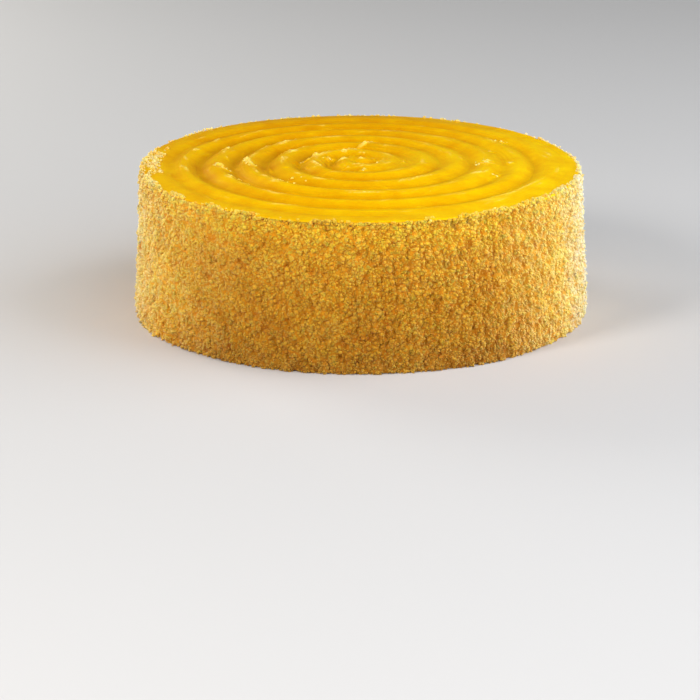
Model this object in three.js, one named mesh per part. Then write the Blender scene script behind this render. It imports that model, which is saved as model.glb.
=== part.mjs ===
// A whole round mango tres leches cake: a soaked sponge drum with a coat of sponge crumbs
// pressed onto its side, and a layer of smooth mango topping that a spatula has drawn into a spiral.
// Millimetres, +Z up. The origin is the middle of the flat base, and +X is the right-hand side
// for somebody who stands in front of the cake and looks along +Y.

import * as THREE from "three";

// Driving dimensions of the cake.
const BASE_RADIUS = 105; // at the foot, over the crumbs
const SHOULDER_RADIUS = 102.2; // where the upright side starts to round over
const RIM_RADIUS = 100.2; // outside of the upper edge
const CAKE_HEIGHT = 67.8; // of the upper edge of the crumb coat
const SHOULDER_HEIGHT = 61; // where the side starts to round over
const COAT_AT_RIM = 1.5; // width of the crumb coat round the edge of the topping
const FOOT_SETBACK = 1.6; // the crumbs overhang the flat base by this much
const FOOT_HEIGHT = 1.2; // lowest ring of crumbs

// Driving dimensions of the mango topping.
const TOPPING_FLOOR = 62; // the flat top of the sponge, which the topping lies on
const TOPPING_GAP = 0.3; // between the topping's edge and the crumb coat
const TOPPING_EDGE_HEIGHT = 67.5; // top of the topping at its edge
const TOPPING_EDGE_ROUND = 1.4; // radius that softens the edge
const DOME_RISE = 3; // how far the middle stands above the edge
const SPIRAL_PITCH = 14.7; // from one groove to the next
const SPIRAL_START = 6.3; // radius of the innermost groove on +X
const GROOVE_DEPTH = 2.3;
const GROOVE_ROUNDNESS = 1.6; // 1 gives creased grooves, and 2 a smooth wave
const SPIRAL_FADE_FROM = 78; // the grooves get shallow from here outwards
const SPIRAL_FADE_TO = 93;
const OUTER_GROOVE_SHARE = 0.12; // what is left of the depth at the edge
const LIFT_MARK_FROM = new THREE.Vector2(-12.6, 4.2); // the ridge where the spatula left it
const LIFT_MARK_TO = new THREE.Vector2(2.1, 31.5);
const LIFT_MARK_HEIGHT = 1.3;
const LIFT_MARK_WIDTH = 2.4;

// Fineness of the solids, and the crumbs' relief.
const COAT_SEGMENTS = 180; // round the crumb coat
const COAT_ROWS = 18; // up the crumb coat
const TOPPING_SEGMENTS = 60;
const TOPPING_ROWS = 42;
const CRUMB_TOPS = { lowest: 0, highest: 0.95 }; // how far a crumb stands out
const CRUMB_GAPS = { lowest: -0.75, highest: 0.3 }; // and the coat between two crumbs
const CRUMB_SHIFT = 0.3; // share of a cell by which a crumb is off the regular grid
const RIM_CRUMB_RISE = 0.7; // unevenness of the coat's upper edge
const RANDOM_SEED = 20;

// Returns a function that gives the same numbers from 0 to 1 in every run.
function seededRandom(seed) {
  let state = seed;
  return () => {
    state = (state + 0x6d2b79f5) | 0;
    let mixed = Math.imul(state ^ (state >>> 15), 1 | state);
    mixed = (mixed + Math.imul(mixed ^ (mixed >>> 7), 61 | mixed)) ^ mixed;
    return ((mixed ^ (mixed >>> 14)) >>> 0) / 4294967296;
  };
}

// The hand-pressed coat is slightly out of round. This is its slow swell, in millimetres.
function coatSwell(angle, height) {
  const round = 0.4 * Math.sin(3 * angle + 0.8 + 0.02 * height);
  const dents = 0.3 * Math.sin(7 * angle + 2.1 - 0.05 * height);
  const bands = 0.25 * Math.sin(2 * angle + 0.11 * height);
  return round + dents + bands;
}

// Radius of the side at a height, before the crumbs: a slight draft, then a rounded shoulder.
function sideRadius(height) {
  const upright = THREE.MathUtils.lerp(BASE_RADIUS, SHOULDER_RADIUS, height / SHOULDER_HEIGHT);
  if (height <= SHOULDER_HEIGHT) return upright;
  const over = (height - SHOULDER_HEIGHT) / (CAKE_HEIGHT - SHOULDER_HEIGHT);
  return SHOULDER_RADIUS - (SHOULDER_RADIUS - RIM_RADIUS) * (1 - Math.sqrt(1 - over * over));
}

// Height of the topping's upper face above the sponge's base.
function toppingHeight(radius, angle) {
  const share = radius / toppingRadius();
  const dome = TOPPING_EDGE_HEIGHT + DOME_RISE * (1 - share * share);
  const turns = (radius - SPIRAL_START) / SPIRAL_PITCH - angle / (2 * Math.PI);
  const ridge = Math.pow(Math.abs(Math.sin(Math.PI * turns)), GROOVE_ROUNDNESS);
  const fade = THREE.MathUtils.smoothstep(radius, SPIRAL_FADE_FROM, SPIRAL_FADE_TO);
  const middle = THREE.MathUtils.smoothstep(radius, 0, SPIRAL_START);
  const depth = GROOVE_DEPTH * middle * THREE.MathUtils.lerp(1, OUTER_GROOVE_SHARE, fade);
  return dome - depth * (1 - ridge) + liftMark(radius, angle);
}

// The ragged ridge near the middle, where the spatula was lifted off.
function liftMark(radius, angle) {
  const point = new THREE.Vector2(radius * Math.cos(angle), radius * Math.sin(angle));
  const along = LIFT_MARK_TO.clone().sub(LIFT_MARK_FROM);
  const share = point.clone().sub(LIFT_MARK_FROM).dot(along) / along.lengthSq();
  const nearest = LIFT_MARK_FROM.clone().addScaledVector(along, THREE.MathUtils.clamp(share, 0, 1));
  const away = point.distanceTo(nearest) / LIFT_MARK_WIDTH;
  return LIFT_MARK_HEIGHT * Math.exp(-away * away);
}

function toppingRadius() {
  return RIM_RADIUS - COAT_AT_RIM - TOPPING_GAP;
}

// Turns a profile, given from the foot up, round +Z, and then moves each point by
// place(row, column, radius, height), which returns its radius, angle and height. The last column
// repeats the first one, which closes the solid.
function turnedSolid(profile, segments, place) {
  const geometry = new THREE.LatheGeometry(profile, segments);
  geometry.setIndex(crossedCells(profile.length, segments));
  const positions = geometry.getAttribute("position");
  profile.forEach((point, row) => {
    for (let column = 0; column <= segments; column += 1) {
      const moved = place(row, column % segments, point.x, point.y);
      const index = column * profile.length + row;
      const x = moved.radius * Math.cos(moved.angle);
      const y = moved.radius * Math.sin(moved.angle);
      positions.setXYZ(index, x, y, moved.height);
    }
  });
  geometry.computeVertexNormals();
  return geometry;
}

// Splits neighbouring cells along opposite diagonals, so that no relief lines up into slanting streaks.
// A point has eight faces round it where isCrossing says so, and four elsewhere.
function crossedCells(rows, columns) {
  const faces = [];
  for (let column = 0; column < columns; column += 1) {
    for (let row = 0; row < rows - 1; row += 1) {
      const lowLeft = column * rows + row;
      const lowRight = lowLeft + rows;
      const highLeft = lowLeft + 1;
      const highRight = lowRight + 1;
      if (isCrossing(row, column)) {
        faces.push(lowLeft, lowRight, highRight, lowLeft, highRight, highLeft);
      } else {
        faces.push(lowLeft, lowRight, highLeft, highRight, highLeft, lowRight);
      }
    }
  }
  return faces;
}

function isCrossing(row, column) {
  return (row + column) % 2 === 1;
}

// The sponge with its crumb coat, and the shallow seat that the coat leaves for the topping.
function crumbCoatedCake() {
  const seatRadius = RIM_RADIUS - COAT_AT_RIM;
  const coatTop = CAKE_HEIGHT - FOOT_HEIGHT;
  const rowStep = (coatTop - FOOT_HEIGHT) / (COAT_ROWS - 1);
  const profile = [new THREE.Vector2(0, 0), new THREE.Vector2(BASE_RADIUS - FOOT_SETBACK, 0)];
  const lowestRow = profile.length;
  for (let row = 0; row < COAT_ROWS; row += 1) {
    const height = FOOT_HEIGHT + rowStep * row;
    profile.push(new THREE.Vector2(sideRadius(height), height));
  }
  const highestRow = profile.length - 1;
  const rimRow = profile.length;
  profile.push(new THREE.Vector2(RIM_RADIUS - COAT_AT_RIM / 2, CAKE_HEIGHT));
  profile.push(new THREE.Vector2(seatRadius, CAKE_HEIGHT - RIM_CRUMB_RISE));
  profile.push(new THREE.Vector2(seatRadius, TOPPING_FLOOR));
  profile.push(new THREE.Vector2(0, TOPPING_FLOOR));

  const random = seededRandom(RANDOM_SEED);
  const columnStep = (2 * Math.PI) / COAT_SEGMENTS;
  const draws = profile.map(() =>
    Array.from({ length: COAT_SEGMENTS }, () => [random(), random(), random()]),
  );

  return turnedSolid(profile, COAT_SEGMENTS, (row, column, radius, height) => {
    const [out, turn, lift] = draws[row][column];
    const angle = columnStep * column;
    if (row === rimRow) {
      const rise = RIM_CRUMB_RISE * (2 * lift - 1);
      return { radius: radius + coatSwell(angle, height), angle, height: height + rise };
    }
    if (row < lowestRow || row > highestRow) return { radius, angle, height };
    const reach = isCrossing(row, column) ? CRUMB_TOPS : CRUMB_GAPS;
    const crumb = THREE.MathUtils.lerp(reach.lowest, reach.highest, out);
    const isEdge = row === lowestRow || row === highestRow;
    return {
      radius: radius + coatSwell(angle, height) + crumb,
      angle: angle + columnStep * CRUMB_SHIFT * (2 * turn - 1),
      height: height + (isEdge ? 0 : rowStep * CRUMB_SHIFT * (2 * lift - 1)),
    };
  });
}

// The layer of mango topping, flat underneath and spiralled on top.
function mangoTopping() {
  const radius = toppingRadius();
  const topRadius = radius - TOPPING_EDGE_ROUND;
  const profile = [new THREE.Vector2(0, TOPPING_FLOOR), new THREE.Vector2(radius, TOPPING_FLOOR)];
  profile.push(new THREE.Vector2(radius, TOPPING_EDGE_HEIGHT - TOPPING_EDGE_ROUND));
  const firstTopRow = profile.length;
  for (let row = TOPPING_ROWS; row >= 0; row -= 1) {
    profile.push(new THREE.Vector2((topRadius * row) / TOPPING_ROWS, TOPPING_EDGE_HEIGHT));
  }

  const columnStep = (2 * Math.PI) / TOPPING_SEGMENTS;
  return turnedSolid(profile, TOPPING_SEGMENTS, (row, column, rowRadius, height) => {
    const angle = columnStep * column;
    if (row < firstTopRow) return { radius: rowRadius, angle, height };
    return { radius: rowRadius, angle, height: toppingHeight(rowRadius, rowRadius === 0 ? 0 : angle) };
  });
}

function crumbMaterial() {
  return new THREE.MeshStandardMaterial({ color: 0xe3b45c, roughness: 0.95, metalness: 0 });
}

function toppingMaterial() {
  return new THREE.MeshStandardMaterial({ color: 0xf0b400, roughness: 0.35, metalness: 0 });
}

function named(name, geometry, material) {
  const mesh = new THREE.Mesh(geometry, material);
  mesh.name = name;
  return mesh;
}

const cake = new THREE.Group();
cake.name = "mango_tres_leches_cake";
cake.add(named("crumb_coated_cake", crumbCoatedCake(), crumbMaterial()));
cake.add(named("mango_topping", mangoTopping(), toppingMaterial()));

export default cake;
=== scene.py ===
# Dresses a whole round mango tres leches cake: fine sponge crumbs pressed onto the side, and a
# smooth, glossy mango topping that a spatula has drawn into a spiral.
# Metres, +Z up. The origin is the middle of the flat base. Seen from the front, +X is to the right
# and +Y is to the back. Angles run counter-clockwise from +X, seen from above.

import math

import bmesh
import bpy
import numpy as np
from mathutils import Matrix, Vector


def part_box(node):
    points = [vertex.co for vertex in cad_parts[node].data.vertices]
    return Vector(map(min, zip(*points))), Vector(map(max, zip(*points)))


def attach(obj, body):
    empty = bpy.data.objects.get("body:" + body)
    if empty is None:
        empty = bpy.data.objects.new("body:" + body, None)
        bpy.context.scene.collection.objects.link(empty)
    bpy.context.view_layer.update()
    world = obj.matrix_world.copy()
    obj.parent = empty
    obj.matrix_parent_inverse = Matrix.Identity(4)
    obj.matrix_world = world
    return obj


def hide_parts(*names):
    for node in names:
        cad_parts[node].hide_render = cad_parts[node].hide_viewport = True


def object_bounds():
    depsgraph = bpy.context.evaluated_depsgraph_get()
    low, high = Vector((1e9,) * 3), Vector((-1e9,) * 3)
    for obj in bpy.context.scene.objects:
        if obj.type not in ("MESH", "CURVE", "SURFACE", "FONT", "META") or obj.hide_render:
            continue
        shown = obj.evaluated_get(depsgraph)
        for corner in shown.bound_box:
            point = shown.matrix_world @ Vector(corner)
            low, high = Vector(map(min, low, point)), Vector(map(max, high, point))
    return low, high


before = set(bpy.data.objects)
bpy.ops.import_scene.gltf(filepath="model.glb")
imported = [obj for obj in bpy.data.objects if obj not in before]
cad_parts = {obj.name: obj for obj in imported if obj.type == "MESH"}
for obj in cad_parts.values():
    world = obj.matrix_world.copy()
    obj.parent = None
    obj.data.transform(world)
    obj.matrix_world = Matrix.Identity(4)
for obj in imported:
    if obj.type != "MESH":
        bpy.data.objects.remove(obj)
cad_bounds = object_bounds()

MM = 0.001
FULL_TURN = 2 * math.pi

# ---------------------------------------------------------------- sizes of the cake

BASE_RADIUS = 103.4 * MM  # at the foot, where most crumbs end
SHOULDER_RADIUS = 100.9 * MM  # where the upright side starts to round over
COAT_TOP_RADIUS = 98.9 * MM  # where the side ends at the top
RIM_RADIUS = 99.8 * MM  # outside of the ring of crumbs round the topping
CAKE_HEIGHT = 67.8 * MM  # of the upper edge of the crumb coat
SHOULDER_HEIGHT = 58 * MM
FOOT_SETBACK = 1.6 * MM  # the crumbs overhang the flat base by this much
COAT_AT_RIM = 1.5 * MM  # width of the crumb coat round the topping

TOPPING_LOW, TOPPING_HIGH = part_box("mango_topping")
TOPPING_FLOOR = TOPPING_LOW.z
TOPPING_RADIUS = (TOPPING_HIGH.x - TOPPING_LOW.x) / 2
TOPPING_EDGE_HEIGHT = 67.5 * MM
DOME_RISE = 3 * MM
SPIRAL_PITCH = 14.7 * MM
SPIRAL_START = 6.3 * MM  # radius of the innermost groove on +X
GROOVE_DEPTH = 2.3 * MM
GROOVE_ROUNDNESS = 1.6  # 1 gives creased grooves, and 2 a smooth wave
SPIRAL_FADE_FROM = 78 * MM
SPIRAL_FADE_TO = 93 * MM
OUTER_GROOVE_SHARE = 0.12

# Seeds of the random draws. The last three give the same waves in every function that asks for them.
MAIN_SEED = 20
CLUMP_SEED = 7
PATCH_SEED = 5
LIP_SEED = 11

rng = np.random.default_rng(MAIN_SEED)


# ---------------------------------------------------------------- small helpers


def smoothstep(values, start, end):
    share = np.clip((values - start) / (end - start), 0, 1)
    return share * share * (3 - 2 * share)


def waves(first, second, first_scale, second_scale, count, draws=rng):
    """Soft noise, mostly between -1 and 1, as a sum of waves that run in all directions. first_scale
    is how many waves go round a full turn of first, where they meet without a seam, and second_scale
    is how many fit in one unit of second."""
    total = np.zeros(np.broadcast(first, second).shape)
    for _ in range(count):
        heading = draws.uniform(0, FULL_TURN)
        speed = draws.uniform(0.6, 1.4)
        turns_first = np.round(first_scale * speed * math.cos(heading))
        turns_second = second_scale * speed * math.sin(heading)
        phase = draws.uniform(0, FULL_TURN)
        total += np.sin(turns_first * first + FULL_TURN * turns_second * second + phase)
    return total / math.sqrt(count)


def coat_swell(angle, height):
    """The slow swell of the hand-pressed coat, as in the frame's solid."""
    height_mm = height / MM
    round_out = 0.4 * np.sin(3 * angle + 0.8 + 0.02 * height_mm)
    dents = 0.3 * np.sin(7 * angle + 2.1 - 0.05 * height_mm)
    bands = 0.25 * np.sin(2 * angle + 0.11 * height_mm)
    return (round_out + dents + bands) * MM


# The low clumps that the crumbs lie in: height, waves round the cake, and waves in a millimetre.
CLUMP_RELIEF = ((0.54 * MM, 85, 0.13), (0.44 * MM, 190, 0.3))


def clump_relief(angle, height):
    """Low clumps a few millimetres wide. The same ones come back at every call."""
    own = np.random.default_rng(CLUMP_SEED)
    total = np.zeros(np.broadcast(angle, height).shape)
    for size, around, upward in CLUMP_RELIEF:
        total += size * waves(angle, height / MM, around, upward, 30, own)
    return total


def side_radius(height):
    """Radius of the side before the crumbs: a slight draft, then a rounded shoulder."""
    upright = BASE_RADIUS + (SHOULDER_RADIUS - BASE_RADIUS) * height / SHOULDER_HEIGHT
    over = np.clip((height - SHOULDER_HEIGHT) / (CAKE_HEIGHT - SHOULDER_HEIGHT), 0, 1)
    rounded = SHOULDER_RADIUS - (SHOULDER_RADIUS - COAT_TOP_RADIUS) * (1 - np.sqrt(1 - over * over))
    return np.where(height <= SHOULDER_HEIGHT, upright, rounded)


def mesh_piece(name, vertices, faces, material, relief=None):
    """A mesh that rides with the cake, with the given material. relief, a number for each vertex, is
    kept as the attribute "relief" for the material."""
    mesh = bpy.data.meshes.new(name)
    corners = faces.shape[1]
    mesh.vertices.add(len(vertices))
    mesh.vertices.foreach_set("co", np.ascontiguousarray(vertices, np.float32).ravel())
    mesh.loops.add(faces.size)
    mesh.loops.foreach_set("vertex_index", np.ascontiguousarray(faces, np.int32).ravel())
    mesh.polygons.add(len(faces))
    mesh.polygons.foreach_set("loop_start", np.arange(0, faces.size, corners, dtype=np.int32))
    mesh.update(calc_edges=True)
    if relief is not None:
        attribute = mesh.attributes.new("relief", "FLOAT", "POINT")
        attribute.data.foreach_set("value", relief.astype(np.float32))
    mesh.validate()
    mesh.shade_smooth()
    mesh.materials.append(material)
    piece = bpy.data.objects.new(name, mesh)
    bpy.context.scene.collection.objects.link(piece)
    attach(piece, "root")
    return piece


def ring_faces(rows, columns):
    """Quads between the rows of a grid that closes round. They face out where the rows go up and the
    columns go counter-clockwise."""
    row, column = np.meshgrid(np.arange(rows - 1), np.arange(columns), indexing="ij")
    across = (column + 1) % columns
    low, high = row * columns, (row + 1) * columns
    return np.stack([low + column, low + across, high + across, high + column], -1).reshape(-1, 4)


def turned_mesh(rings, bottom, top):
    """Vertices and faces of a body made of rings, from the middle of its base up to the middle of its
    top. The middles are rings far too small to see, so that every face is a quad."""
    rows, columns, _ = rings.shape
    middle_low = np.repeat(bottom[None, None, :], columns, axis=1)
    middle_high = np.repeat(top[None, None, :], columns, axis=1)
    vertices = np.concatenate([middle_low, rings, middle_high], axis=0)
    shrunk = 1e-4
    vertices[0] += (rings[0] - bottom) * shrunk
    vertices[-1] += (rings[-1] - top) * shrunk
    return vertices.reshape(-1, 3), ring_faces(rows + 2, columns)


# ---------------------------------------------------------------- materials


def principled(name):
    material = bpy.data.materials.new(name)
    material.use_nodes = True
    nodes = material.node_tree.nodes
    return material, nodes, material.node_tree.links, nodes["Principled BSDF"]


def linear(red, green, blue):
    """Linear colour of an sRGB colour given from 0 to 255."""
    channels = [value / 255 for value in (red, green, blue)]
    return [c / 12.92 if c <= 0.04045 else ((c + 0.055) / 1.055) ** 2.4 for c in channels] + [1]


def noise(nodes, links, vector, scale, detail, roughness=0.55):
    """Soft spots between 0 and 1. A scale of 200 makes them about 5 mm wide."""
    node = nodes.new("ShaderNodeTexNoise")
    node.inputs["Scale"].default_value = scale
    node.inputs["Detail"].default_value = detail
    node.inputs["Roughness"].default_value = roughness
    links.new(vector, node.inputs["Vector"])
    return node.outputs["Fac"]


def ramp(nodes, links, value, stops):
    node = nodes.new("ShaderNodeValToRGB")
    elements = node.color_ramp.elements
    while len(elements) < len(stops):
        elements.new(0.5)
    for element, (position, colour) in zip(elements, stops):
        element.position = position
        element.color = colour
    links.new(value, node.inputs["Fac"])
    return node.outputs["Color"]


def bump(nodes, links, height, strength, distance):
    node = nodes.new("ShaderNodeBump")
    node.inputs["Strength"].default_value = strength
    node.inputs["Distance"].default_value = distance
    links.new(height, node.inputs["Height"])
    return node.outputs["Normal"]


def multiply(nodes, links, colour, tint):
    node = nodes.new("ShaderNodeMix")
    node.data_type = "RGBA"
    node.blend_type = "MULTIPLY"
    node.inputs["Factor"].default_value = 1
    links.new(colour, node.inputs[6])
    links.new(tint, node.inputs[7])
    return node.outputs[2]


def blend(nodes, links, share, first, second):
    """The first colour where share is 0, and the second where it is 1."""
    node = nodes.new("ShaderNodeMix")
    node.data_type = "RGBA"
    links.new(share, node.inputs["Factor"])
    links.new(first, node.inputs[6])
    links.new(second, node.inputs[7])
    return node.outputs[2]


def tinted(nodes, links, colour, value, stops):
    """The colour times the tint that the ramp of stops gives for the value."""
    return multiply(nodes, links, colour, ramp(nodes, links, value, stops))


def shifted(nodes, links, place):
    """The same coordinates further along, so that a second noise differs from the first."""
    node = nodes.new("ShaderNodeVectorMath")
    node.inputs[1].default_value = (3.1, 1.7, 2.3)
    links.new(place, node.inputs[0])
    return node.outputs["Vector"]


def span(nodes, links, value, low, high):
    """0 to 1 as the value goes from low to high."""
    node = nodes.new("ShaderNodeMapRange")
    node.inputs["From Min"].default_value = low
    node.inputs["From Max"].default_value = high
    links.new(value, node.inputs["Value"])
    return node.outputs["Result"]


def object_place(nodes, links):
    """Coordinates on the cake, whole and split into X, Y and Z."""
    place = nodes.new("ShaderNodeTexCoord").outputs["Object"]
    split = nodes.new("ShaderNodeSeparateXYZ")
    links.new(place, split.inputs["Vector"])
    return place, split.outputs["X"], split.outputs["Y"], split.outputs["Z"]


def set_surface(shader, roughness, specular, scatter, scatter_colour, scatter_depth):
    """How matt the surface is, how much of the light goes into it, in what colour, and how deep."""
    shader.inputs["Roughness"].default_value = roughness
    shader.inputs["Specular IOR Level"].default_value = specular
    shader.inputs["Subsurface Weight"].default_value = scatter
    shader.inputs["Subsurface Radius"].default_value = scatter_colour
    shader.inputs["Subsurface Scale"].default_value = scatter_depth


def crumb_material(name, middle):
    """Dry sponge: the colour changes inside each crumb and from patch to patch. The front is a deeper
    gold than the sides and the right is paler, as painted light; the coat is darker towards the foot,
    most in front, as painted shade; and the upper edge is yellower where it has soaked up mango."""
    material, nodes, links, shader = principled(name)
    place, place_x, place_y, place_z = object_place(nodes, links)
    dark = [channel * CRUMB_DARK for channel in middle[:3]] + [1]
    light = [min(channel * CRUMB_LIGHT, CRUMB_LIGHTEST) for channel in middle[:3]] + [1]
    tone = noise(nodes, links, place, 420, detail=2)
    colour = ramp(nodes, links, tone, [(0.36, dark), (0.5, middle), (0.64, light)])
    patch = noise(nodes, links, place, 210, detail=1)
    colour = tinted(nodes, links, colour, patch, BAKED_PATCHES)
    cream = noise(nodes, links, shifted(nodes, links, place), 130, detail=1)
    colour = tinted(nodes, links, colour, cream, CREAM_PATCHES)
    blotch = noise(nodes, links, place, 85, detail=1)
    colour = tinted(nodes, links, colour, blotch, BLOTCHES)
    # Painted light and shade: deeper gold in front, paler at the sides and towards the right, darker
    # towards the foot.
    depth = span(nodes, links, place_y, -BASE_RADIUS, 0)
    colour = tinted(nodes, links, colour, depth, PAINTED_LIGHT_FRONT_TO_SIDE)
    across = span(nodes, links, place_x, 0, BASE_RADIUS)
    colour = tinted(nodes, links, colour, across, PAINTED_LIGHT_TOWARDS_THE_RIGHT)
    height = span(nodes, links, place_z, 0, CAKE_HEIGHT)
    front_shade_and_stain = ramp(nodes, links, height, FOOT_SHADE_AND_RIM_STAIN_IN_FRONT)
    side_shade_and_stain = ramp(nodes, links, height, FOOT_SHADE_AND_RIM_STAIN_ELSEWHERE)
    beside = span(nodes, links, place_y, -FRONT_FROM * BASE_RADIUS, -FRONT_TO * BASE_RADIUS)
    colour = multiply(nodes, links, colour, blend(nodes, links, beside, front_shade_and_stain, side_shade_and_stain))
    links.new(colour, shader.inputs["Base Color"])
    set_surface(
        shader,
        roughness=0.9,
        specular=0.1,
        scatter=0.8,
        scatter_colour=(1.0, 0.84, 0.55),
        scatter_depth=1.7 * MM,
    )
    shader.inputs["Sheen Weight"].default_value = 0.1
    shader.inputs["Sheen Roughness"].default_value = 0.5
    pores = noise(nodes, links, place, 2200, detail=2)
    links.new(bump(nodes, links, pores, 0.25, 0.3 * MM), shader.inputs["Normal"])
    return material


# How much darker and lighter a crumb gets in places, and the lightest that any channel may be.
CRUMB_DARK = 0.94
CRUMB_LIGHT = 1.04
CRUMB_LIGHTEST = 0.97
# Shares of the radius between which the painted shade and the mango stain of the front give way to those
# of the sides.
FRONT_FROM = 0.8
FRONT_TO = 0.5
# Tints of the crumbs, as places from 0 to 1 and what the red, green and blue are multiplied by.
BAKED_PATCHES = (
    (0.3, (0.93, 0.78, 0.6, 1)),
    (0.4, (1, 0.98, 0.95, 1)),
    (0.7, (1, 1.01, 1.0, 1)),
)
CREAM_PATCHES = (
    (0.36, (0.98, 0.97, 0.76, 1)),
    (0.5, (1, 1, 0.96, 1)),
    (0.66, (1, 1.01, 1.22, 1)),
)
BLOTCHES = (
    (0.38, (0.89, 0.84, 0.74, 1)),
    (0.56, (1, 1, 1, 1)),
)
# Painted light: the front is a deeper gold and the sides paler, as the light falls on them.
PAINTED_LIGHT_FRONT_TO_SIDE = (
    (0.06, (0.91, 0.7, 0.16, 1)),
    (0.26, (1, 0.79, 0.28, 1)),
    (0.5, (1, 0.82, 0.32, 1)),
    (0.85, (1, 0.93, 0.76, 1)),
)
# Painted light: the coat gets paler towards the right, where the light is strongest.
PAINTED_LIGHT_TOWARDS_THE_RIGHT = (
    (0.6, (1, 1, 0.9, 1)),
    (0.8, (1, 1.06, 1.25, 1)),
    (1.0, (1, 1.16, 1.6, 1)),
)
# Painted shade: in front the coat darkens from the upper edge down to the foot. Near the upper edge it
# is also yellower, stained by the mango.
FOOT_SHADE_AND_RIM_STAIN_IN_FRONT = (
    (0.0, (0.5, 0.44, 0.42, 1)),
    (0.15, (0.6, 0.53, 0.4, 1)),
    (0.4, (0.71, 0.63, 0.44, 1)),
    (0.72, (0.83, 0.77, 0.56, 1)),
    (0.86, (0.93, 0.9, 0.58, 1)),
    (0.92, (1, 1.03, 0.66, 1)),
    (0.985, (1, 1.06, 0.9, 1)),
)
# Painted shade: elsewhere the foot is a little darker. The upper edge is a little stained by the mango.
FOOT_SHADE_AND_RIM_STAIN_ELSEWHERE = (
    (0.0, (0.9, 0.86, 0.84, 1)),
    (0.25, (1, 1, 1, 1)),
    (0.9, (1, 1, 1, 1)),
    (0.985, (1, 1.01, 0.95, 1)),
)


# Tints of the topping, given as those of the crumbs are; all three are painted light and shade. The
# first goes from the bottoms of the grooves to the ridges, and darkens the grooves as painted shade.
TOPPING_GROOVE_SHADE = (
    (0.0, (0.78, 0.66, 0.5, 1)),
    (0.5, (0.93, 0.85, 0.76, 1)),
    (1.0, (1, 1, 1, 1)),
)
# Painted light: darker on the left and in the middle, brighter on the right, where the light is
# strongest.
TOPPING_PAINTED_LIGHT_LEFT_TO_RIGHT = (
    (0.0, (0.93, 0.92, 1, 1)),
    (0.5, (0.9, 0.89, 1, 1)),
    (0.9, (1.06, 1.16, 1, 1)),
)
# Painted shade: a little brighter in front, darker at the back.
TOPPING_PAINTED_SHADE_FRONT_TO_BACK = (
    (0.1, (1.02, 1.04, 1, 1)),
    (0.6, (1, 1, 1, 1)),
    (0.95, (0.9, 0.8, 1, 1)),
)


def topping_material():
    """Thick mango glaze: darker in the grooves as painted shade, brighter on the right and darker at the
    back as painted light and shade, and paler where pulp stands up in lumps.
    """
    material, nodes, links, shader = principled("mango_topping_gloss")
    place, place_x, place_y, _ = object_place(nodes, links)
    tone = noise(nodes, links, place, 75, detail=6, roughness=0.65)
    glaze = ramp(nodes, links, tone, [(0.32, linear(233, 169, 1)), (0.68, linear(249, 199, 3))])
    pulp = ramp(nodes, links, tone, [(0.3, linear(252, 214, 70)), (0.7, linear(253, 232, 140))])
    relief = nodes.new("ShaderNodeAttribute")
    relief.attribute_name = "relief"
    rise = span(nodes, links, relief.outputs["Fac"], 0, 1)
    # Painted shade in the grooves, then painted light and shade from left to right and from front to
    # back.
    glaze = tinted(nodes, links, glaze, rise, TOPPING_GROOVE_SHADE)
    across = span(nodes, links, place_x, -TOPPING_RADIUS, TOPPING_RADIUS)
    glaze = tinted(nodes, links, glaze, across, TOPPING_PAINTED_LIGHT_LEFT_TO_RIGHT)
    depth = span(nodes, links, place_y, -TOPPING_RADIUS, TOPPING_RADIUS)
    glaze = tinted(nodes, links, glaze, depth, TOPPING_PAINTED_SHADE_FRONT_TO_BACK)
    lumpiness = span(nodes, links, relief.outputs["Fac"], 1, 2)
    links.new(blend(nodes, links, lumpiness, glaze, pulp), shader.inputs["Base Color"])
    set_surface(
        shader,
        roughness=0.34,
        specular=0.05,
        scatter=0.25,
        scatter_colour=(1.0, 0.55, 0.04),
        scatter_depth=1.5 * MM,
    )
    fine = noise(nodes, links, place, 500, detail=4)
    links.new(bump(nodes, links, fine, 0.4, 0.15 * MM), shader.inputs["Normal"])
    return material


def pulp_material():
    """Soaked bits in the glaze: moist, and pale yellow with a little change from one to the next."""
    material, nodes, links, shader = principled("mango_pulp")
    place = nodes.new("ShaderNodeTexCoord").outputs["Object"]
    tone = noise(nodes, links, place, 300, detail=3)
    colour = ramp(nodes, links, tone, [(0.35, linear(250, 206, 60)), (0.65, linear(253, 230, 140))])
    links.new(colour, shader.inputs["Base Color"])
    set_surface(
        shader,
        roughness=0.5,
        specular=0.2,
        scatter=0.5,
        scatter_colour=(1.0, 0.6, 0.15),
        scatter_depth=1.0 * MM,
    )
    fine = noise(nodes, links, place, 1500, detail=2)
    links.new(bump(nodes, links, fine, 0.4, 0.2 * MM), shader.inputs["Normal"])
    return material


# ---------------------------------------------------------------- the sponge under the crumbs


CORE_SINK = 0.8 * MM  # the crumbs stand on a surface this much further in
CORE_ROUGHNESS = 0.2  # in millimetres
CORE_FOOT_HEIGHT = 0.6 * MM
CORE_SIDE_TOP = CAKE_HEIGHT - 1.2 * MM
CORE_RIM_TOP = CAKE_HEIGHT - 0.9 * MM
CORE_RIM_INSIDE = CAKE_HEIGHT - 1.1 * MM


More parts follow.
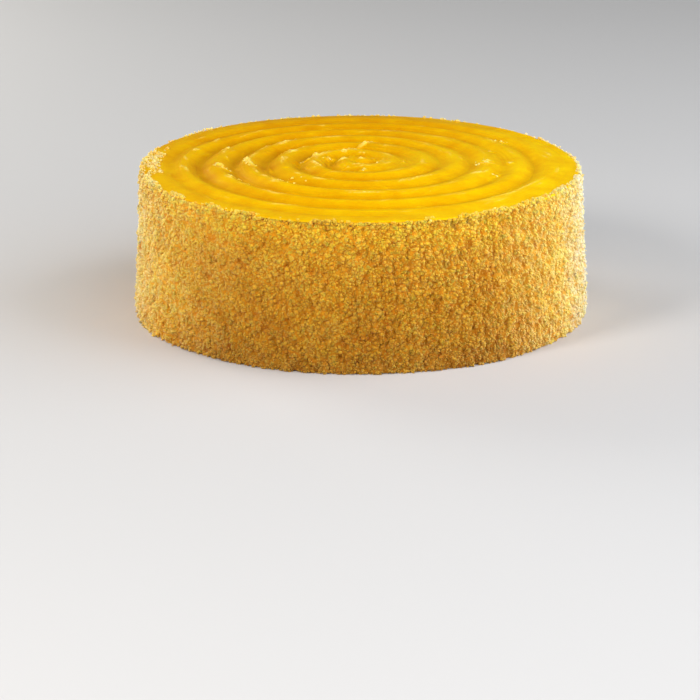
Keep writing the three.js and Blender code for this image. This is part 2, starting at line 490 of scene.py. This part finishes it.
def sponge_core():
    columns = 760
    side_rows = 78
    angle = np.linspace(0, FULL_TURN, columns, endpoint=False)[None, :]
    height = np.linspace(CORE_FOOT_HEIGHT, CORE_SIDE_TOP, side_rows)[:, None]
    radius = side_radius(height) + coat_swell(angle, height) - CORE_SINK
    rough = rng.uniform(-CORE_ROUGHNESS, CORE_ROUGHNESS, radius.shape) * MM
    radius = radius + clump_relief(angle, height) + rough
    height = height + np.zeros_like(radius)

    def ring(ring_radius, ring_height):
        return np.full((1, columns), ring_radius), np.full((1, columns), ring_height)

    rim_inner = RIM_RADIUS - COAT_AT_RIM
    parts = (
        ring(BASE_RADIUS - FOOT_SETBACK - CORE_SINK, 0),
        (radius, height),
        ring(RIM_RADIUS - 0.5 * COAT_AT_RIM, CORE_RIM_TOP),
        ring(rim_inner, CORE_RIM_INSIDE),
        ring(rim_inner, TOPPING_FLOOR),
    )
    radii = np.concatenate([part[0] for part in parts])
    heights = np.concatenate([part[1] for part in parts])
    rings = np.stack([radii * np.cos(angle), radii * np.sin(angle), heights], -1)
    top = np.array([0, 0, TOPPING_FLOOR])
    vertices, faces = turned_mesh(rings, np.zeros(3), top)
    # The core is a darker, more orange gold than the crumbs: painted shade in the gaps between them.
    material = crumb_material("sponge_core", linear(243, 194, 108))
    piece = mesh_piece("sponge_core", vertices, faces, material)
    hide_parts("crumb_coated_cake")


# ---------------------------------------------------------------- the mango topping


# Where the smooth surface is rough, as the middle (x, y), length, width, height and heading in degrees
# of each smear or lump, in millimetres.
TOPPING_LUMPS = (
    (-3.0, 23.5, 10.0, 1.9, 1.0, 58),  # the ridge where the spatula was lifted off
    (1.5, 30.0, 7.0, 1.7, 0.9, 55),
    (5.5, 34.5, 4.0, 1.6, 0.7, 45),
    (-7.4, 15.5, 2.4, 2.0, 0.9, 60),
    (-8.6, 0.8, 3.6, 2.3, 1.0, 10),
    (-13.5, 6.0, 5.5, 2.6, 0.8, 25),
    (-20.9, 8.0, 3.8, 3.0, 1.0, 90),
    (-24.0, 2.5, 6.0, 1.7, 0.8, 40),
    (-33.4, 20.0, 6.0, 2.6, 0.7, 60),
    (-37.0, 14.5, 4.5, 2.0, 0.6, 80),
    (-30.7, 16.0, 3.5, 2.0, 0.6, 40),
    (5.5, 5.0, 9.0, 1.5, 0.5, -66),
    (0.5, 0.8, 2.6, 1.9, 0.6, 0),
    (1.4, -15.5, 3.2, 2.2, 0.7, 20),
    (-2.5, -17.6, 6.0, 2.0, 0.4, 10),
    (-36.7, -30.0, 12.5, 1.2, 0.5, -15),
    (-37.0, -33.5, 7.0, 1.1, 0.35, -10),
    (-36.5, -36.5, 8.0, 1.1, 0.35, -12),
    (-63.6, -7.0, 3.8, 3.2, 1.1, 90),
    (-60.5, -12.5, 6.0, 1.8, 0.7, -20),
    (-58.0, -25.5, 2.8, 1.9, 0.8, 0),
    (-54.8, -26.0, 2.6, 1.9, 0.8, 0),
    (-52.1, 1.2, 3.8, 3.0, 1.1, 100),
    (-50.4, -4.5, 6.0, 2.2, 0.9, 110),
    (-48.5, -9.5, 4.0, 2.4, 0.6, 120),
    (-62.5, 23.5, 5.0, 2.0, 0.7, 20),
    (-50.0, -40.5, 7.0, 1.3, 0.4, -15),
    (-76.0, 23.5, 4.0, 2.0, 0.5, 30),
    (60.2, 24.0, 4.0, 2.4, 0.6, 10),
    (57.4, -2.4, 7.0, 1.2, 0.6, 0),
    (57.4, 1.8, 5.0, 1.7, 0.4, 0),
    (68.0, 2.2, 3.4, 3.0, 0.6, 90),
    (65.6, 44.0, 6.5, 1.6, 0.6, 175),
    (62.3, -18.5, 5.0, 1.3, 0.5, 60),
    (60.0, -21.0, 4.0, 1.2, 0.4, 60),
    (52.0, -20.0, 7.0, 2.4, 0.5, 30),
    (61.5, -55.6, 17.0, 1.3, 0.32, 41),
    (72.3, -41.2, 25.0, 1.3, 0.4, 60),
    (-31.5, -74.0, 16.0, 1.2, 0.3, -8),
    (0.6, -56.0, 20.0, 1.2, 0.35, 3),
    (25.4, -72.0, 5.0, 2.0, 0.5, 10),
    (30.0, -94.0, 3.2, 2.2, 0.8, 20),
    (-28.5, -3.0, 9.0, 5.0, -0.7, 100),  # a dent
    (-33.2, -15.0, 2.2, 1.7, -0.6, 0),
)
STREAK_HEIGHT = 0.11 * MM
STREAK_WAVES = 16
STREAKS_FROM = 4 * MM  # the middle has none, and from STREAKS_TO outwards they are full
STREAKS_TO = 12 * MM
LUMP_ROUGHNESS = 0.45
LUMP_ROUGHNESS_LIMITS = (0.3, 1.8)
LUMP_FULLY_PALE = 0.6 * MM  # height from which a lump is as pale as pulp
# Wisps: how many, then how far from the middle, how long, how wide and how high, each as the least and
# the most in millimetres, and how far they stray from the spiral in degrees.
WISP_COUNT = 340
WISP_RADII = (8, 90)
WISP_LENGTHS = (3, 11)
WISP_WIDTHS = (1.1, 1.7)
WISP_HEIGHTS = (0.06, 0.26)
WISP_STRAY = 12
WISP_MEAN_SHARE = 1.15  # of these heights, halfway between the left and the right
WISP_LEAN = 0.35  # how much more of them on the left, and how much less on the right


def random_wisps():
    """Short thin smears along the spiral, given as TOPPING_LUMPS are. They are higher on the left."""
    wisps = []
    for _ in range(WISP_COUNT):
        radius = rng.uniform(*WISP_RADII)
        angle = rng.uniform(0, 360)
        turned = math.radians(angle)
        middle_x, middle_y = radius * math.cos(turned), radius * math.sin(turned)
        length = rng.uniform(*WISP_LENGTHS)
        width = rng.uniform(*WISP_WIDTHS)
        height = rng.uniform(*WISP_HEIGHTS) * (WISP_MEAN_SHARE - WISP_LEAN * math.cos(turned))
        heading = angle + 90 + rng.normal(0, WISP_STRAY)
        wisps.append((middle_x, middle_y, length, width, height, heading))
    return tuple(wisps)


def soft_lumps(x, y):
    """Height of all the lumps and smears together."""
    total = np.zeros(np.broadcast(x, y).shape)
    rough = 1 + LUMP_ROUGHNESS * waves(x / MM, y / MM, 3.0, 0.45, 30)
    for middle_x, middle_y, length, width, height, heading in TOPPING_LUMPS + random_wisps():
        turned = math.radians(heading)
        east, north = x / MM - middle_x, y / MM - middle_y
        along = (east * math.cos(turned) + north * math.sin(turned)) / length * 2
        across = (north * math.cos(turned) - east * math.sin(turned)) / width * 2
        total += height * np.exp(-(along**2) - across**2)
    return total * MM * np.clip(rough, *LUMP_ROUGHNESS_LIMITS)


def spatula_streaks(turns, angle):
    """Fine parallel lines that follow the spiral, deeper in some places than in others."""
    total = np.zeros(np.broadcast(turns, angle).shape)
    for _ in range(STREAK_WAVES):
        lines = rng.integers(4, 12)
        drift = rng.integers(-3, 4)
        total += np.sin(FULL_TURN * lines * turns + drift * angle + rng.uniform(0, FULL_TURN))
    patches = np.clip(0.5 + 0.6 * waves(angle, turns, 6, 0.5, 16), 0, 1.4)
    return total / math.sqrt(STREAK_WAVES) * patches * STREAK_HEIGHT


GROOVE_WANDER = 0.45 * MM  # how far a groove strays from the true spiral
GROOVE_SHARE = 0.95  # of GROOVE_DEPTH, on average
GROOVE_LEAN = 0.26  # the grooves are deeper on the left by this share, and shallower on the right
GROOVE_UNEVENNESS = 0.2
TOPPING_HEADROOM = 0.05 * MM  # left under the top of the frame's solid


def topping_surface(radius, angle):
    """Height of the topping, and its relief: 0 at the bottom of a groove, 1 on a ridge, and up to 2 on
    lumps."""
    share = radius / TOPPING_RADIUS
    dome = TOPPING_EDGE_HEIGHT + DOME_RISE * (1 - share * share)
    wander = GROOVE_WANDER * waves(angle, radius / MM, 4, 0.03, 16)
    turns = (radius + wander - SPIRAL_START) / SPIRAL_PITCH - angle / FULL_TURN
    ridge = np.abs(np.sin(math.pi * turns)) ** GROOVE_ROUNDNESS
    fade = smoothstep(radius, SPIRAL_FADE_FROM, SPIRAL_FADE_TO)
    middle = smoothstep(radius, 0, SPIRAL_START)
    swell = waves(angle, radius / MM, 5, 0.05, 16)
    uneven = GROOVE_SHARE - GROOVE_LEAN * np.cos(angle) + GROOVE_UNEVENNESS * swell
    depth = middle * uneven * (1 - fade * (1 - OUTER_GROOVE_SHARE))
    x, y = radius * np.cos(angle), radius * np.sin(angle)
    streaks = spatula_streaks(turns, angle) * smoothstep(radius, STREAKS_FROM, STREAKS_TO)
    lumps = soft_lumps(x, y)
    height = dome - GROOVE_DEPTH * depth * (1 - ridge) + streaks + lumps
    height = np.minimum(height, TOPPING_HIGH.z - TOPPING_HEADROOM)
    relief = np.clip(1 - depth * (1 - ridge), 0, 1) + np.clip(lumps / LUMP_FULLY_PALE, 0, 1)
    return height, relief


TOPPING_LIP = 0.6 * MM  # how far the topping has spread over the crumb coat, and how unevenly
TOPPING_LIP_SIDEWAYS = 0.2 * MM  # it has spread further on the right than on the left
TOPPING_LIP_SLOW_WAVE = 0.5 * MM
TOPPING_LIP_QUICK_WAVE = 0.3 * MM
TOPPING_LIP_LEAST = -0.4 * MM
TOPPING_LIP_MOST = 1.6 * MM
TOPPING_EDGE_ROUND = 0.8 * MM
TOPPING_LIP_UNDERSIDE = 66.6 * MM
TOPPING_WALL_SETBACK = 0.2 * MM
INNERMOST_SHARE = 0.003  # radius of the innermost ring of the mesh, as a share of the outermost


def topping_lip(angle):
    """Radius of the ragged edge of the topping."""
    own = np.random.default_rng(LIP_SEED)
    slow = waves(angle, 0.0, 14, 0, 16, own)
    quick = waves(angle, 0.0, 60, 0, 20, own)
    spread = TOPPING_LIP + TOPPING_LIP_SIDEWAYS * np.cos(angle)
    spread = spread + TOPPING_LIP_SLOW_WAVE * slow + TOPPING_LIP_QUICK_WAVE * quick
    return TOPPING_RADIUS + np.clip(spread, TOPPING_LIP_LEAST, TOPPING_LIP_MOST)


def mango_topping():
    columns = 552
    rows = 168
    angle = np.linspace(0, FULL_TURN, columns, endpoint=False)[None, :]
    lip = topping_lip(angle)
    wall = np.full_like(lip, TOPPING_RADIUS - TOPPING_WALL_SETBACK)
    share = np.linspace(1, INNERMOST_SHARE, rows)[:, None]
    radius = (lip - TOPPING_EDGE_ROUND) * share
    height, relief = topping_surface(radius, angle)
    edge_height = height[:1]
    bends = np.linspace(0, math.pi / 2, 6)[:-1, None]
    edge_radius = lip - TOPPING_EDGE_ROUND * (1 - np.cos(bends))
    edge_rise = edge_height - TOPPING_EDGE_ROUND * (1 - np.sin(bends))
    floor = np.full((1, columns), TOPPING_FLOOR)
    underside = np.full((1, columns), TOPPING_LIP_UNDERSIDE)
    radii = np.concatenate([wall, wall, edge_radius, radius])
    heights = np.concatenate([floor, underside, edge_rise, height])
    rings = np.stack([radii * np.cos(angle), radii * np.sin(angle), heights], -1)
    bottom = np.array([0, 0, TOPPING_FLOOR])
    top = np.array([0, 0, heights[-1].mean()])
    vertices, faces = turned_mesh(rings, bottom, top)
    outside = np.ones((len(rings) - rows + 1, columns))
    relief = np.concatenate([outside, relief, relief[-1:]]).ravel()
    material = topping_material()
    piece = mesh_piece("mango_topping_spread", vertices, faces, material, relief)
    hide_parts("mango_topping")
    return piece


# ---------------------------------------------------------------- crumbs


def ball_template():
    """Vertices and triangles of an icosahedron."""
    shape = bmesh.new()
    bmesh.ops.create_icosphere(shape, subdivisions=1, radius=1)
    vertices = np.array([vertex.co[:] for vertex in shape.verts])
    faces = np.array([[vertex.index for vertex in face.verts] for face in shape.faces])
    shape.free()
    return vertices, faces


def flint_template():
    """Vertices and triangles of an octahedron, for the smallest crumbs."""
    vertices = np.array([[1, 0, 0], [-1, 0, 0], [0, 1, 0], [0, -1, 0], [0, 0, 1], [0, 0, -1]], float)
    upper = [[0, 2, 4], [2, 1, 4], [1, 3, 4], [3, 0, 4]]
    lower = [[2, 0, 5], [1, 2, 5], [3, 1, 5], [0, 3, 5]]
    faces = np.array(upper + lower)
    return vertices, faces


def random_turns(count):
    """Random rotation matrices, from random unit quaternions."""
    q = rng.normal(size=(count, 4))
    q /= np.linalg.norm(q, axis=1, keepdims=True)
    w, x, y, z = q.T
    return np.stack(
        [
            np.stack([1 - 2 * (y * y + z * z), 2 * (x * y - z * w), 2 * (x * z + y * w)], -1),
            np.stack([2 * (x * y + z * w), 1 - 2 * (x * x + z * z), 2 * (y * z - x * w)], -1),
            np.stack([2 * (x * z - y * w), 2 * (y * z + x * w), 1 - 2 * (x * x + y * y)], -1),
        ],
        1,
    )


CRUMB_RAGGEDNESS = (0.65, 1.3)  # least and most that a corner is moved out by, as a share
CRUMB_SQUASH = (0.7, 1.2)


def crumb_heap(template, centres, sizes):
    """Ragged crumbs of the given sizes (diameters), joined into one set of vertices and triangles."""
    ball, triangles = template
    count = len(centres)
    ragged = rng.uniform(*CRUMB_RAGGEDNESS, (count, len(ball), 1))
    squash = rng.uniform(*CRUMB_SQUASH, (count, 1, 3))
    lumps = ball[None] * ragged * squash
    lumps = np.einsum("nij,nvj->nvi", random_turns(count), lumps)
    vertices = centres[:, None, :] + lumps * sizes[:, None, None] / 2
    faces = triangles[None] + (np.arange(count) * len(ball))[:, None, None]
    return vertices, faces


def cylindrical(radius, angle, height):
    return np.stack([radius * np.cos(angle), radius * np.sin(angle), height], -1)


def crumb_sizes(shape, usual, spread, least, most):
    return np.clip(rng.lognormal(math.log(usual), spread, shape), least, most)


CRUMB_SHAKE = 0.6  # how far a crumb is off its place in the rows, as a share of the spacing
CRUMB_OFFSETS = (-0.25, 0.15)  # further in or out at random, in millimetres
STANDING_CHANCE = 0.25 * MM  # height that counts as much as chance for which places are filled
LOWEST_CRUMB = 0.3 * MM
HIGHEST_SIDE_CRUMB = CAKE_HEIGHT - 1.5 * MM


def side_crumbs(spacing, sizes, bury, cover):
    """Middles of crumbs on the side, in staggered rows that are shaken up, with their sizes. Each one is
    sunk into the coat by a share of its size. They fill a share of the places, those that stand out."""
    rows = int(CAKE_HEIGHT / spacing)
    columns = int(FULL_TURN * BASE_RADIUS / spacing)
    row, column = np.meshgrid(np.arange(rows), np.arange(columns), indexing="ij")
    shift = rng.uniform(-CRUMB_SHAKE, CRUMB_SHAKE, (2,) + row.shape)
    height = (row + 0.5 + shift[0]) * CAKE_HEIGHT / rows
    height = np.clip(height, LOWEST_CRUMB, HIGHEST_SIDE_CRUMB).ravel()
    angle = ((column + 0.5 * (row % 2) + shift[1]) * FULL_TURN / columns).ravel()
    size = crumb_sizes(height.shape, *sizes)
    clumps = clump_relief(angle, height)
    radius = side_radius(height) + coat_swell(angle, height) + clumps
    radius = radius - bury * size + rng.uniform(*CRUMB_OFFSETS, height.shape) * MM
    standing = clumps + rng.normal(0, STANDING_CHANCE, height.shape)
    kept = standing >= np.quantile(standing, 1 - cover)
    return cylindrical(radius, angle, height)[kept], size[kept]


def rim_height(radius):
    """What a crumb near the upper edge rests on: the topping, and then the coat's rounded shoulder."""
    topping = TOPPING_EDGE_HEIGHT + DOME_RISE * (1 - (radius / TOPPING_RADIUS) ** 2)
    over = np.clip((SHOULDER_RADIUS - radius) / (SHOULDER_RADIUS - COAT_TOP_RADIUS), 0, 1)
    shoulder = SHOULDER_HEIGHT + (CAKE_HEIGHT - SHOULDER_HEIGHT) * np.sqrt(1 - (1 - over) ** 2)
    return np.where(radius < RIM_RADIUS, topping, shoulder)


def rim_crumbs(count):
    """The crumbs round the upper edge, which just reach above the topping here and there."""
    angle = rng.uniform(0, FULL_TURN, count)
    size = crumb_sizes(count, *RIM_CRUMB_SIZES)
    radius = RIM_RADIUS + rng.uniform(*RIM_CRUMB_OFFSETS, count) * MM
    height = RIM_CRUMB_HEIGHT + rng.uniform(*RIM_CRUMB_RISES, count) * MM
    return cylindrical(radius, angle, height), size


def rim_clusters():
    """Crumbs that have dropped onto the edge of the topping, in patches."""
    centres, sizes = [], []
    for middle, arc, inner, outer, count in RIM_CLUSTERS:
        angle = np.radians(rng.normal(middle, arc / 4, count))
        radius = rng.uniform(inner, outer, count) * MM
        size = crumb_sizes(count, *RIM_CRUMB_SIZES)
        height = rim_height(radius) + rng.uniform(*RIM_CLUSTER_RISES, count) * size
        centres.append(cylindrical(radius, angle, height))
        sizes.append(size)
    return np.concatenate(centres), np.concatenate(sizes)


def topping_specks(topping):
    """Bits of pulp and soaked crumbs that are stuck in the topping."""
    surface = np.empty(len(topping.data.vertices) * 3)
    topping.data.vertices.foreach_get("co", surface)
    surface = surface.reshape(-1, 3)
    surface = surface[surface[:, 2] > TOPPING_EDGE_HEIGHT - GROOVE_DEPTH]
    centres, sizes = [], []
    for middle_x, middle_y, spread_x, spread_y, count in TOPPING_SPECKS:
        for _ in range(count):
            x = rng.normal(middle_x, spread_x) * MM
            y = rng.normal(middle_y, spread_y) * MM
            size = rng.uniform(*SPECK_SIZES) * MM
            nearest = np.argmin(np.hypot(surface[:, 0] - x, surface[:, 1] - y))
            centres.append((x, y, surface[nearest, 2] - SPECK_SINK * size))
            sizes.append(size)
    vertices, faces = crumb_heap(ball_template(), np.array(centres), np.array(sizes))
    vertices = keep_inside(vertices.reshape(-1, 3))
    mesh_piece("pulp_specks", vertices, faces.reshape(-1, 3), pulp_material())


# Mean colours of the kinds of crumb, and their shares of the coarse crumbs and of the fine ones. The
# fine crumbs, which sit deeper, take more of the darker kinds: painted shade between the coarse ones.
CRUMB_KINDS = (
    ("crumbs_pale", linear(252, 223, 166), 0.38, 0.14),
    ("crumbs_straw", linear(251, 218, 160), 0.36, 0.28),
    ("crumbs_golden", linear(249, 212, 150), 0.15, 0.32),
    ("crumbs_amber", linear(246, 202, 130), 0.05, 0.16),
    ("crumbs_stained", linear(252, 210, 128), 0.06, 0.1),
)
# How much chance, the clumps, the patches and the height count for the kind of a crumb. Crumbs in the
# hollows between clumps lean to the darker kinds and those that stand out to the paler ones, as painted
# shade and painted light; crumbs lower down lean to the darker kinds.
KIND_BY_CHANCE = 0.35
KIND_SHADE_BY_CLUMP = 1.5
KIND_BY_PATCH = 0.5
KIND_BY_LOWNESS = 0.3
# Heights between which crumbs become likely to be stained, and how much more likely.
STAIN_FROM = 54 * MM
STAIN_TO = 67 * MM
STAIN_STRENGTH = 2.2


def sort_crumbs(centres, shares):
    """The kind of each crumb, with these shares. Crumbs in the hollows between clumps are darker and
    those that stand out paler, as painted shade and painted light. Like crumbs lie in patches, and those
    near the upper edge are stained by the topping."""
    angle = np.arctan2(centres[:, 1], centres[:, 0])
    height = centres[:, 2]
    standing = clump_relief(angle, height) / MM
    lowness = 1 - height / CAKE_HEIGHT
    own = np.random.default_rng(PATCH_SEED)
    patches = waves(angle, height / MM, 30, 0.05, 30, own)
    chance = KIND_BY_CHANCE * rng.normal(size=len(centres))
    tint = chance - KIND_SHADE_BY_CLUMP * standing + KIND_BY_PATCH * patches + KIND_BY_LOWNESS * lowness
    wet = smoothstep(height, STAIN_FROM, STAIN_TO) * STAIN_STRENGTH + rng.normal(size=len(centres))
    stained = wet > np.quantile(wet, 1 - shares[-1])
    limits = np.cumsum(shares[:-2]) / shares[:-1].sum()
    kinds = np.digitize(tint, np.quantile(tint[~stained], limits))
    kinds[stained] = len(CRUMB_KINDS) - 1
    return kinds


# Spacing, sizes (usual, spread, least and most), how deep they sit, and the share of the places filled.
COARSE_CRUMBS = (1.48 * MM, (1.7 * MM, 0.25, 1.1 * MM, 2.7 * MM), 0.52, 0.93)
FINE_CRUMBS = (1.25 * MM, (0.95 * MM, 0.2, 0.7 * MM, 1.3 * MM), 0.6, 1)
RIM_CRUMB_COUNT = 420
RIM_CRUMB_SIZES = (1.3 * MM, 0.3, 0.8 * MM, 2.2 * MM)
RIM_CRUMB_OFFSETS = (-1.0, 0.1)  # in from RIM_RADIUS or out, in millimetres
RIM_CRUMB_HEIGHT = CAKE_HEIGHT - 1.1 * MM
RIM_CRUMB_RISES = (-0.4, 0.3)  # in millimetres
RIM_CLUSTER_RISES = (-0.25, 0.2)  # shares of a crumb's size
# Patches of crumbs on the edge of the topping: the middle and length of the arc in degrees, on which
# nearly all of them lie, the inner and outer radius in millimetres, and how many.
RIM_CLUSTERS = (
    (178, 26, 91, 99.5, 210),
    (200, 12, 97.5, 100.3, 80),
    (215, 8, 97, 100.3, 70),
    (229, 7, 97, 100.3, 60),
    (240, 8, 98, 100.3, 50),
    (262, 10, 98.5, 100, 30),
    (287.5, 2.5, 97, 99.5, 12),
    (300, 10, 98, 100, 40),
    (308, 10, 97, 100, 60),
    (320, 12, 96.5, 100, 80),
    (333, 12, 96.5, 100, 80),
    (346, 14, 98, 100, 50),
    (358, 12, 98.5, 100, 20),
    (30, 20, 98.5, 100, 12),
    (64, 16, 98.5, 100, 10),
    (138, 16, 98.5, 100, 10),
)
SPECK_SIZES = (0.8, 1.7)  # least and most, in millimetres
SPECK_SINK = 0.22  # share of its size by which the middle of a speck is below the surface
# Specks in the topping: the middle (x, y) and spread of each patch in millimetres, and how many.
TOPPING_SPECKS = (
    (-63.6, -7.0, 1.2, 1.4, 8),
    (-59.5, -12.5, 1.6, 1.0, 4),
    (-58.0, -25.5, 0.7, 0.6, 3),
    (-54.8, -26.0, 0.6, 0.5, 3),
    (-52.1, 1.2, 1.2, 1.2, 7),
    (-49.8, -6.0, 1.2, 2.4, 7),
    (-62.5, 23.5, 1.4, 0.7, 4),
    (-20.9, 8.0, 1.1, 0.9, 6),
    (-24.0, 2.0, 1.6, 1.0, 3),
    (-13.5, 6.0, 1.6, 0.7, 5),
    (-8.6, 0.8, 1.0, 0.5, 5),
    (-7.4, 15.5, 0.4, 0.4, 2),
    (-1.5, 25.5, 1.2, 2.0, 6),
    (5.5, 34.5, 1.2, 0.8, 3),
    (8.0, 0.0, 0.5, 0.5, 2),
    (1.4, -15.5, 0.7, 0.5, 3),
    (-33.0, -30.0, 5.0, 0.8, 6),
    (-30.0, -33.0, 4.0, 1.0, 4),
    (57.4, -2.4, 2.2, 0.3, 6),
    (54.0, 4.0, 1.6, 1.6, 4),
    (68.0, 2.2, 0.5, 0.5, 3),
    (65.6, 44.0, 2.2, 0.4, 5),
    (61.5, -19.5, 1.2, 1.0, 4),
    (60.2, 24.0, 1.0, 0.5, 3),
    (30.0, -94.0, 0.9, 0.5, 4),
)


def crumb_coat():
    """All the crumbs, as one piece for each kind and size."""
    coarse = [side_crumbs(*COARSE_CRUMBS), rim_crumbs(RIM_CRUMB_COUNT), rim_clusters()]
    fine = [side_crumbs(*FINE_CRUMBS)]
    batches = (("", ball_template(), coarse, 2), ("_fine", flint_template(), fine, 3))
    for suffix, template, groups, share_column in batches:
        centres = np.concatenate([group[0] for group in groups])
        sizes = np.concatenate([group[1] for group in groups])
        kinds = sort_crumbs(centres, np.array([kind[share_column] for kind in CRUMB_KINDS]))
        for index, (name, colour, *_) in enumerate(CRUMB_KINDS):
            chosen = kinds == index
            vertices, faces = crumb_heap(template, centres[chosen], sizes[chosen])
            vertices = keep_inside(vertices.reshape(-1, 3))
            material = crumb_material(name + suffix, colour)
            mesh_piece(name + suffix, vertices, faces.reshape(-1, 3), material)


def keep_inside(vertices):
    """Crumbs flatten where they would leave the cake's own box, as they do under the foot."""
    low, high = cad_bounds
    return np.clip(vertices, np.array(low), np.array(high))


# ---------------------------------------------------------------- floor, light and camera


def area_light(name, place, target, size, watts, colour):
    data = bpy.data.lights.new(name, "AREA")
    data.shape = "DISK"
    data.size = size
    data.energy = watts
    data.color = colour
    light = bpy.data.objects.new(name, data)
    light.location = place
    light.rotation_euler = (Vector(target) - Vector(place)).to_track_quat("-Z", "Y").to_euler()
    bpy.context.scene.collection.objects.link(light)


FLOOR_COLOUR = (0.62, 0.61, 0.60, 1)
FLOOR_HALF = 4.0
WORLD_STRENGTH = 0.07
LIGHT_TARGET = (0, 0, 50 * MM)
# Each soft light's name, place, diameter, power in watts and colour.
LIGHTS = (
    ("right", (1.0, -0.15, 0.45), 1.6, 14.5, (0.97, 1.04, 1.15)),
    ("right_front", (0.8, -0.75, 0.3), 0.6, 1.6, (1, 1, 1)),
    ("left_behind", (-0.8, 0.7, 0.35), 0.6, 7.0, (1, 0.98, 0.93)),
    ("left_front", (-0.75, -0.75, 0.7), 0.4, 9.2, (1, 0.97, 0.94)),
    ("front", (0.2, -0.9, 0.62), 0.7, 3.1, (1, 1, 1)),
    ("above", (0.6, -0.25, 1.3), 0.8, 3.1, (1, 1, 1)),
)


def studio():
    material, _, _, shader = principled("pale_floor")
    shader.inputs["Base Color"].default_value = FLOOR_COLOUR
    shader.inputs["Roughness"].default_value = 0.8
    corners = FLOOR_HALF * np.array([[-1, -1, 0], [1, -1, 0], [1, 1, 0], [-1, 1, 0]])
    mesh = bpy.data.meshes.new("floor")
    mesh.from_pydata(corners.tolist(), [], [[0, 1, 2, 3]])
    mesh.materials.append(material)
    floor = bpy.data.objects.new("floor", mesh)
    bpy.context.scene.collection.objects.link(floor)

    world = bpy.data.worlds.new("studio")
    world.use_nodes = True
    background = world.node_tree.nodes["Background"]
    background.inputs["Color"].default_value = (1, 0.99, 0.97, 1)
    background.inputs["Strength"].default_value = WORLD_STRENGTH
    bpy.context.scene.world = world

    for name, place, size, watts, colour in LIGHTS:
        area_light(name, place, LIGHT_TARGET, size, watts, colour)
    bpy.context.scene.view_settings.view_transform = "Standard"


CAMERA_PLACE = Vector((-4.35, -1590.2, 469.6)) * MM
CAMERA_TILT = 0.299  # radians below level
CAMERA_ROLL = 0.005
CAMERA_LENS = 185.14  # for the sensor below
SENSOR_WIDTH = 36


def aim_camera():
    data = bpy.data.cameras.new("photo_view")
    data.sensor_width = SENSOR_WIDTH
    data.lens = CAMERA_LENS
    camera = bpy.data.objects.new("photo_view", data)
    tilt = Matrix.Rotation(math.pi / 2 - CAMERA_TILT, 4, "X")
    roll = Matrix.Rotation(CAMERA_ROLL, 4, "Z")
    camera.matrix_world = Matrix.Translation(CAMERA_PLACE) @ tilt @ roll
    bpy.context.scene.collection.objects.link(camera)
    bpy.context.scene.camera = camera


sponge_core()
topping_specks(mango_topping())
crumb_coat()
studio()
aim_camera()
